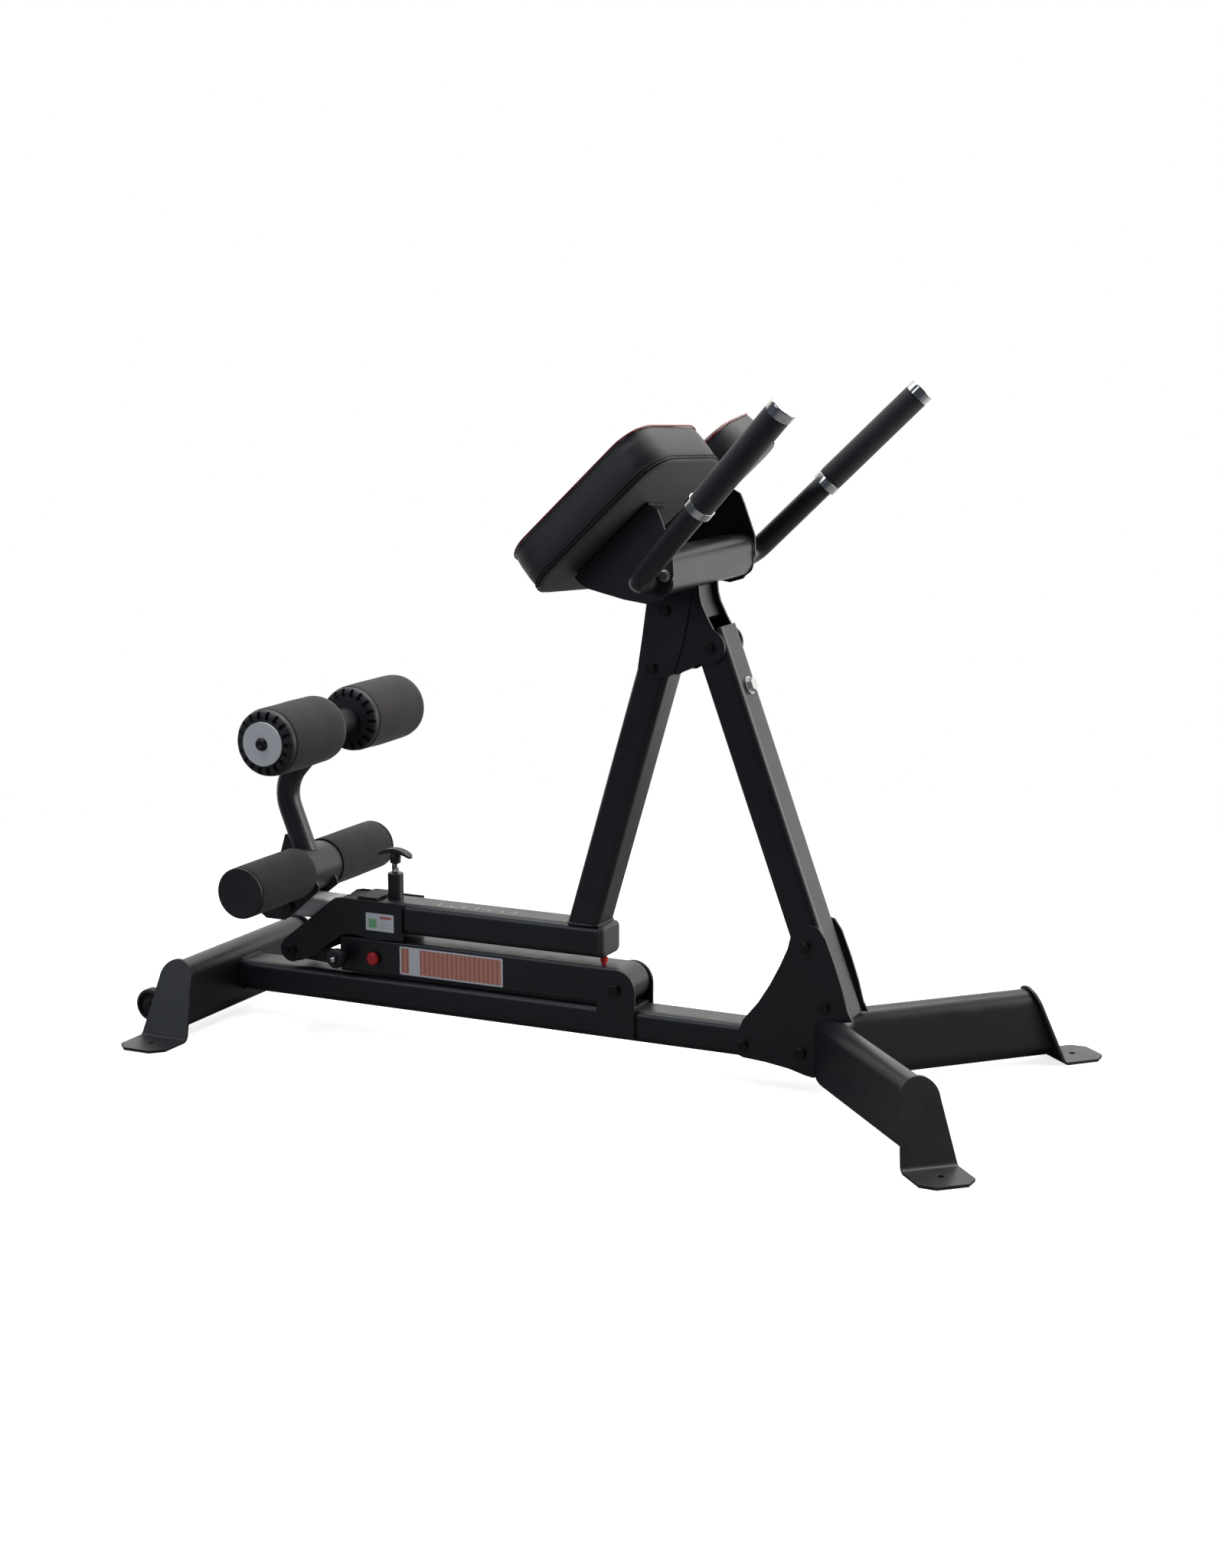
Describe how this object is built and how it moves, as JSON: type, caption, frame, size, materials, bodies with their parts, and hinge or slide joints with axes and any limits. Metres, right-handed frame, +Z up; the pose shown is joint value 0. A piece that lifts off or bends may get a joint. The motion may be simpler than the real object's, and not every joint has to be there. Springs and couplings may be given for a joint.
{
  "type": "roman chair",
  "caption": "Adjustable roman chair: tilting hip pads on a hinged frame with a telescopic prop, handlebars, sliding foam ankle rollers and a V-footed base.",
  "frame": {"origin": "on the floor, at the middle of the overall length and width", "axes": "+X towards the handles and the head end, -X towards the ankle rollers, +Y the left side, +Z up"},
  "size_m": [1.6108, 0.8036, 1.1537],
  "materials": {
    "frame_black": "satin powder coat",
    "bolt_black": "black oxide",
    "zinc_steel": "satin zinc",
    "chrome_trim": "polished",
    "plastic_black": "moulded, matt",
    "foam_dark": "closed-cell foam, matt",
    "vinyl_black": "grained vinyl with red piping",
    "board": "cloth-covered board",
    "grip_rubber": "matt rubber",
    "red_rubber": "moulded",
    "red_plastic": "gloss",
    "wheel_rubber": "moulded, matt"
  },
  "bodies": {
    "base": {"base_tube": "frame_black", "rear_stabiliser": "frame_black", "front_stabiliser": "frame_black", "rear_feet": "frame_black", "front_feet": "frame_black", "clevis_bracket": "frame_black", "gusset_plates": "frame_black", "gusset_bolts": "bolt_black", "upright_tube": "frame_black", "stop_bolt": "zinc_steel", "hinge_bushes": "plastic_black", "wheel_brackets": "frame_black", "wheel_axles": "bolt_black", "prop_pivot_bolt": "bolt_black"},
    "wheel_left": {"wheel_left": "wheel_rubber"},
    "wheel_right": {"wheel_right": "wheel_rubber"},
    "swing_frame": {"leg_tube": "frame_black", "arm_tube": "frame_black", "arm_end_cap": "plastic_black", "casing_plates": "frame_black", "prop_end_screws": "bolt_black", "slide_liner": "plastic_black", "pin_barrel": "frame_black", "hinge_cheeks": "frame_black", "head_web": "frame_black", "pivot_bolt": "bolt_black", "leg_bolts": "bolt_black", "crosstube": "frame_black", "pad_bracket_left": "frame_black", "pad_bracket_right": "frame_black", "pad_boards": "board", "hip_pad_left": "vinyl_black", "hip_pad_right": "vinyl_black", "pad_screws": "bolt_black", "handlebar_left": "frame_black", "handlebar_right": "frame_black", "grips": "grip_rubber", "grip_trims": "chrome_trim", "handle_bolts": "chrome_trim"},
    "ankle_carriage": {"slider_tube": "zinc_steel", "roller_bracket": "frame_black", "bracket_bolt": "bolt_black", "lower_roller_tube": "frame_black", "lower_foams": "foam_dark", "lower_caps": "plastic_black", "ankle_post": "frame_black", "upper_axle": "zinc_steel", "end_discs": "zinc_steel"},
    "roller_left": {"roller_foam_left": "foam_dark", "roller_hubs_left": "plastic_black"},
    "roller_right": {"roller_foam_right": "foam_dark", "roller_hubs_right": "plastic_black"},
    "pull_pin": {"pull_pin": "plastic_black"},
    "prop_outer": {"prop_outer": "frame_black", "knob_housing": "frame_black", "bumper": "red_rubber", "prop_slides": "plastic_black"},
    "prop_inner": {"prop_inner": "frame_black"},
    "prop_knob": {"prop_knob": "plastic_black"},
    "red_button": {"red_button": "red_plastic"}
  },
  "joints": [
    {"name": "frame_tilt", "type": "hinge", "parent": "base", "child": "swing_frame", "pos_m": [0.23669, 0, 0.73], "axis": [0, 1, 0], "range_deg": [0, 38]},
    {"name": "prop_pivot", "type": "hinge", "parent": "base", "child": "prop_outer", "pos_m": [0.06709, 0, 0.132], "axis": [0, 1, 0], "range_deg": [0, 36.8]},
    {"name": "prop_extend", "type": "slide", "parent": "prop_outer", "child": "prop_inner", "axis": [-1, 0, 0], "range_m": [0, 0.40446]},
    {"name": "ankle_slide", "type": "slide", "parent": "swing_frame", "child": "ankle_carriage", "axis": [-1, 0, 0], "range_m": [-0.03, 0.15]},
    {"name": "roller_left_spin", "type": "hinge", "parent": "ankle_carriage", "child": "roller_left", "pos_m": [-0.50891, 0, 0.5415], "axis": [0, 1, 0], "continuous": true},
    {"name": "roller_right_spin", "type": "hinge", "parent": "ankle_carriage", "child": "roller_right", "pos_m": [-0.50891, 0, 0.5415], "axis": [0, 1, 0], "continuous": true},
    {"name": "wheel_left_spin", "type": "hinge", "parent": "base", "child": "wheel_left", "pos_m": [-0.77591, 0.19, 0.044], "axis": [0, 1, 0], "continuous": true},
    {"name": "wheel_right_spin", "type": "hinge", "parent": "base", "child": "wheel_right", "pos_m": [-0.77591, -0.19, 0.044], "axis": [0, 1, 0], "continuous": true},
    {"name": "pull_pin_lift", "type": "slide", "parent": "swing_frame", "child": "pull_pin", "axis": [0, 0, 1], "range_m": [0, 0.012]},
    {"name": "prop_knob_pull", "type": "slide", "parent": "prop_outer", "child": "prop_knob", "axis": [0, -1, 0], "range_m": [0, 0.01]},
    {"name": "red_button_press", "type": "slide", "parent": "prop_outer", "child": "red_button", "axis": [0, 1, 0], "range_m": [0, 0.004]}
  ],
  "couplings": [
    {"joint": "prop_pivot", "follows": "frame_tilt", "ratio": 0.96786},
    {"joint": "prop_extend", "follows": "frame_tilt", "m_per_rad": 0.60968}
  ]
}
